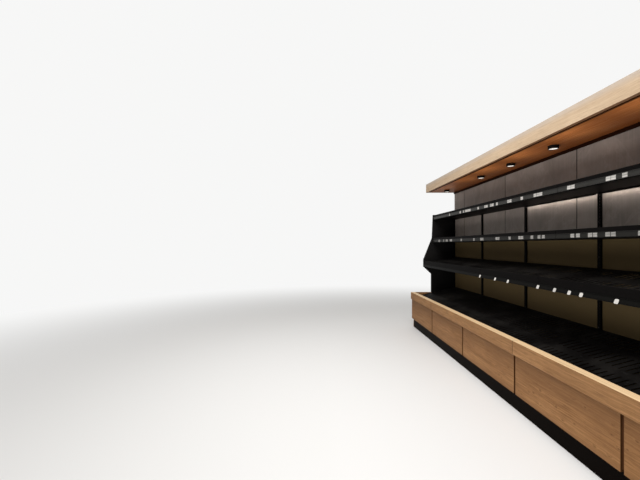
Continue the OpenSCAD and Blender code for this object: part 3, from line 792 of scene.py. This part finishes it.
class DISPLAY_OT_tickets(bpy.types.Operator):
    """Dress the ticket rails and put blank tickets and tags in them"""

    bl_idname = "display.tickets"
    bl_label = "Tickets"

    def execute(self, context):
        finish, detail = settings()
        # Painted shade: the lower and middle rails are darker copies of one plastic, in the shelves' shade
        for level, tone, gloss in (("lower", 0.22, 0.008), ("middle", 0.62, 0.03), ("upper", 1.0, 0.06)):
            plastic = moulded(f"{level}_ticket_rail_plastic", shade(finish.ticket_rail, tone), 0.3, gloss)
            eased([f"{level}_ticket_rails"], plastic, detail.lip_radius, chosen=lengthwise)
        for level, groups in TICKETS.items():
            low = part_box(f"{level}_ticket_rails")[0]
            # Painted shade: the middle tickets are darker, as in the shade under the middle shelf
            tone = 0.62 if level == "middle" else 1.0
            bar = (low.z + 15 * MM, low.z + 25 * MM)
            card = card_stock(f"{level}_ticket_card", shade(finish.card, tone), bar)
            work = Work()
            for start, count in groups:
                for k in range(count):
                    self.ticket(work, LOW.x + start + k * (detail.card_w + detail.card_gap), low, detail)
            work.piece(f"{level}_tickets", card, SLOTS[f"{level}_ticket_rails"])
        self.tags(card_stock("tag_card", finish.card), detail)
        return {"FINISHED"}

    def ticket(self, work, x, low, detail):
        """A card bowed slightly between the rail's two lips."""
        lip, bow, steps = 2.0 * MM, 1.2 * MM, 6
        front, foot = low.y + lip, low.z + lip
        face = [(front + bow * (1.0 - math.sin(math.pi * k / steps)), foot + detail.card_h * k / steps)
                for k in range(steps + 1)]
        work.strip(face + [(y + detail.card_t, z) for y, z in reversed(face)], x, x + detail.card_w)

    def tags(self, card, detail):
        """Small tags with rounded corners, clipped over the lower rail's foot."""
        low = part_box("lower_ticket_rails")[0]
        tilt = math.radians(20.0)
        out = Vector((0.0, -math.cos(tilt), math.sin(tilt)))
        up = Vector((0.0, math.sin(tilt), math.cos(tilt)))
        proud, lift, overhang = 0.6 * MM, 0.8 * MM, 2.0 * MM
        foot = Vector((0.0, low.y - proud, low.z + lift)) - up * overhang
        half, corner, steps = detail.tag_w / 2, detail.tag_corner, 5
        outline = [(sx * (half - corner) + corner * math.cos(a), sz * (half - corner) + corner * math.sin(a))
                   for sx, sz, start in ((1, 1, 0), (-1, 1, 90), (-1, -1, 180), (1, -1, 270))
                   for a in (math.radians(start + 90.0 * k / steps) for k in range(steps + 1))]
        work = Work()
        for place in TAGS:
            centre = foot + up * half + Vector((LOW.x + place, 0.0, 0.0))
            faces = []
            for depth in (0.0, detail.tag_t):
                ring = [work.bm.verts.new(centre + out * depth + up * v + Vector((u, 0.0, 0.0)))
                        for u, v in outline]
                work.bm.faces.new(ring)
                faces.append(ring)
            for k in range(len(outline)):
                n = (k + 1) % len(outline)
                work.bm.faces.new((faces[0][k], faces[0][n], faces[1][n], faces[1][k]))
        work.piece("lower_tags", card, SLOTS["lower_ticket_rails"])


class DISPLAY_OT_canopy(bpy.types.Operator):
    """Dress the canopy and its downlights"""

    bl_idname = "display.canopy"
    bl_label = "Canopy"

    def execute(self, context):
        finish, detail = settings()
        # Painted shade on the fascia's downward faces
        foot = ((0.0, 0.0, -1.0), finish.fascia_foot_shade, 1.0)
        # Painted shade on the soffit's front edge, in the shadow gap behind the fascia
        edge = ((0.0, -1.0, 0.0), shade(finish.soffit_dark, 0.05), 1.6)
        run = HIGH.x - LOW.x
        foot_z, head_z = (corner.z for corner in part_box("canopy_fascia"))
        # Painted light: the fascia's upper half fades to a greyer tone at its head
        lit_head_fade = ("z", (foot_z + head_z) / 2, head_z, finish.fascia_head_lit, 0.7)
        pale = oak("fascia_oak", finish.fascia_light, finish.fascia_dark, contrast=0.8, faces=[foot],
                   fades=[lit_head_fade], first=run, length=run)
        pale_end = oak("fascia_oak_ends", finish.fascia_light, finish.fascia_dark, along="y", contrast=0.8)
        front, wall = (side.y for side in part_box("canopy_soffit"))
        # Painted shade on the soffit towards the wall, along its front edge in the shadow gap and towards the
        # left end
        fades = [("y", front, wall, shade(finish.soffit_dark, 0.36), 0.90),
                 ("y", front + 18 * MM, front + 8 * MM, shade(finish.soffit_dark, 0.12), 0.9),
                 ("x", LOW.x + 1.7, LOW.x + 0.2, shade(finish.soffit_dark, 0.36), 0.5)]
        # Painted light in bands along the soffit, with painted shade between them
        palest, pitch = 1.80, 0.65
        sway = (palest, pitch, shade(finish.soffit_dark, 0.42), 0.74)
        soffit = oak("soffit_veneer", finish.soffit_light, finish.soffit_dark, contrast=1.3, roughness=0.4,
                     faces=[edge], fades=fades, sway=sway, first=run, length=run)
        dress(["canopy_fascia"], pale)
        eased(["canopy_ends"], pale_end, detail.board_arris)
        eased(["canopy_soffit"], soffit, detail.board_arris)
        eased(["canopy_top"], laminate("top_laminate", finish.canopy_top), detail.board_arris)
        dress(["canopy_arms"], powder_coat("canopy_powder_coat", finish.steel))
        dress(["wall_strip"], powder_coat("strip_powder_coat", finish.strip, 0.4))
        dress(["lamp_bodies"], powder_coat("lamp_powder_coat", shade(finish.steel, 2.5), 0.3))
        dress(["lamp_lenses"], lit_lens("lamp_lens", finish.lens, finish.lens_glow))
        return {"FINISHED"}


BACKGROUND = (0.93, 0.93, 0.925, 1.0)


class DISPLAY_OT_stage(bpy.types.Operator):
    """Set the floor, the lamps and the camera"""

    bl_idname = "display.stage"
    bl_label = "Stage"

    def execute(self, context):
        stage = context.scene.display_stage
        self.camera(context, stage)
        self.floor(stage)
        self.world(context, stage)
        self.panel("key", stage.key_power, size=(6.2, 2.3), place=(1.5, -1.65, 4.6), target=(1.2, -0.5, 0.6))
        self.panel("fill", stage.fill_power, size=(5.8, 2.0), place=(1.1, -2.1, 0.02),
                   target=(1.1, -1.9, 2.0))
        context.scene.view_settings.view_transform = "Standard"
        return {"FINISHED"}

    def camera(self, context, stage):
        """Stands in the aisle and looks along the run, as the photograph does."""
        width, height = 640.0, 480.0  # the photograph's own size, in pixels
        data = bpy.data.cameras.new("camera")
        data.sensor_width = 36.0
        data.lens = stage.focal_px / width * data.sensor_width
        data.shift_x = (width / 2 - stage.vanish_x) / width
        data.shift_y = (stage.vanish_y - height / 2) / width
        data.clip_end = 200.0
        camera = bpy.data.objects.new("camera", data)
        camera.location = (LOW.x + stage.eye_run, RAIL_FACE - stage.eye_side, stage.eye_height)
        camera.rotation_euler = (math.radians(90), 0.0, math.radians(90))
        context.scene.collection.objects.link(camera)
        context.scene.camera = camera

    def floor(self, stage):
        """A plain floor that fades into the background far from the display."""
        half, sunk = 40.0, 0.5 * MM
        fade_start, fade_end = 3.5, 9.0
        bm = bmesh.new()
        corners = ((-half, -half), (half, -half), (half, half), (-half, half))
        bm.faces.new([bm.verts.new((x, y, -sunk)) for x, y in corners])
        mesh = bpy.data.meshes.new("floor")
        bm.to_mesh(mesh)
        bm.free()
        f = Finish("floor_plain")
        distance = (f.x * f.x + f.y * f.y) ** 0.5
        plain = f.node("ShaderNodeBsdfPrincipled", {}, {"Base Color": rgba(stage.floor), "Roughness": 0.7})
        glow = f.node("ShaderNodeEmission", {}, {"Color": BACKGROUND, "Strength": 1.0})
        far = distance.between(fade_start, fade_end) * f.node("ShaderNodeLightPath", out="Is Camera Ray")
        faded = f.node("ShaderNodeMixShader", {}, {0: far, 1: plain, 2: glow})
        f.tree.links.new(faded.socket, f.output.inputs["Surface"])
        mesh.materials.append(f.material)
        floor = bpy.data.objects.new("floor", mesh)
        bpy.context.scene.collection.objects.link(floor)

    def world(self, context, stage):
        """Even light from all round, and a pale background to the camera and in reflections."""
        world = bpy.data.worlds.new("studio")
        world.use_nodes = True
        tree = world.node_tree
        tree.nodes.clear()
        output = tree.nodes.new("ShaderNodeOutputWorld")
        path = tree.nodes.new("ShaderNodeLightPath")
        light, back = (tree.nodes.new("ShaderNodeBackground") for _ in range(2))
        light.inputs["Color"].default_value = (1.0, 0.99, 0.97, 1.0)
        light.inputs["Strength"].default_value = stage.sky
        back.inputs["Color"].default_value = BACKGROUND
        mix = tree.nodes.new("ShaderNodeMixShader")
        seen = path.outputs["Is Camera Ray"]
        for ray in ("Is Glossy Ray", "Is Transmission Ray"):
            either = tree.nodes.new("ShaderNodeMath")
            either.operation = "MAXIMUM"
            tree.links.new(seen, either.inputs[0])
            tree.links.new(path.outputs[ray], either.inputs[1])
            seen = either.outputs[0]
        tree.links.new(seen, mix.inputs[0])
        tree.links.new(light.outputs[0], mix.inputs[1])
        tree.links.new(back.outputs[0], mix.inputs[2])
        tree.links.new(mix.outputs[0], output.inputs["Surface"])
        context.scene.world = world

    def panel(self, name, power, size, place, target):
        """A lit panel at a place, turned to face a target."""
        data = bpy.data.lights.new(name, "AREA")
        data.shape = "RECTANGLE"
        data.size, data.size_y = size
        data.energy = power
        lamp = bpy.data.objects.new(name, data)
        lamp.location = place
        lamp.rotation_euler = (Vector(target) - Vector(place)).to_track_quat("-Z", "Y").to_euler()
        bpy.context.scene.collection.objects.link(lamp)


class DISPLAY_PT_panel(bpy.types.Panel):
    """Lists the display's settings and steps"""

    bl_idname = "DISPLAY_PT_panel"
    bl_label = "Produce wall display"
    bl_space_type = "VIEW_3D"
    bl_region_type = "UI"
    bl_category = "Display"

    def draw(self, context):
        layout = self.layout
        for step in STEPS:
            layout.operator(step.bl_idname)
        for group in (getattr(context.scene, name) for name in GROUPS):
            for key in group.bl_rna.properties.keys():
                if key not in ("rna_type", "name"):
                    layout.prop(group, key)


GROUPS = {"display_finish": FinishSettings, "display_detail": DetailSettings, "display_stage": StageSettings}
STEPS = (DISPLAY_OT_base, DISPLAY_OT_back, DISPLAY_OT_shelves, DISPLAY_OT_tickets, DISPLAY_OT_canopy,
         DISPLAY_OT_stage)
CLASSES = (*GROUPS.values(), *STEPS, DISPLAY_PT_panel)


def register():
    for cls in CLASSES:
        bpy.utils.register_class(cls)
    for name, group in GROUPS.items():
        setattr(bpy.types.Scene, name, PointerProperty(type=group))


def unregister():
    for name in GROUPS:
        delattr(bpy.types.Scene, name)
    for cls in reversed(CLASSES):
        bpy.utils.unregister_class(cls)


def main():
    register()
    for step in STEPS:
        area, name = step.bl_idname.split(".")
        getattr(getattr(bpy.ops, area), name)()


if __name__ == "__main__":
    main()
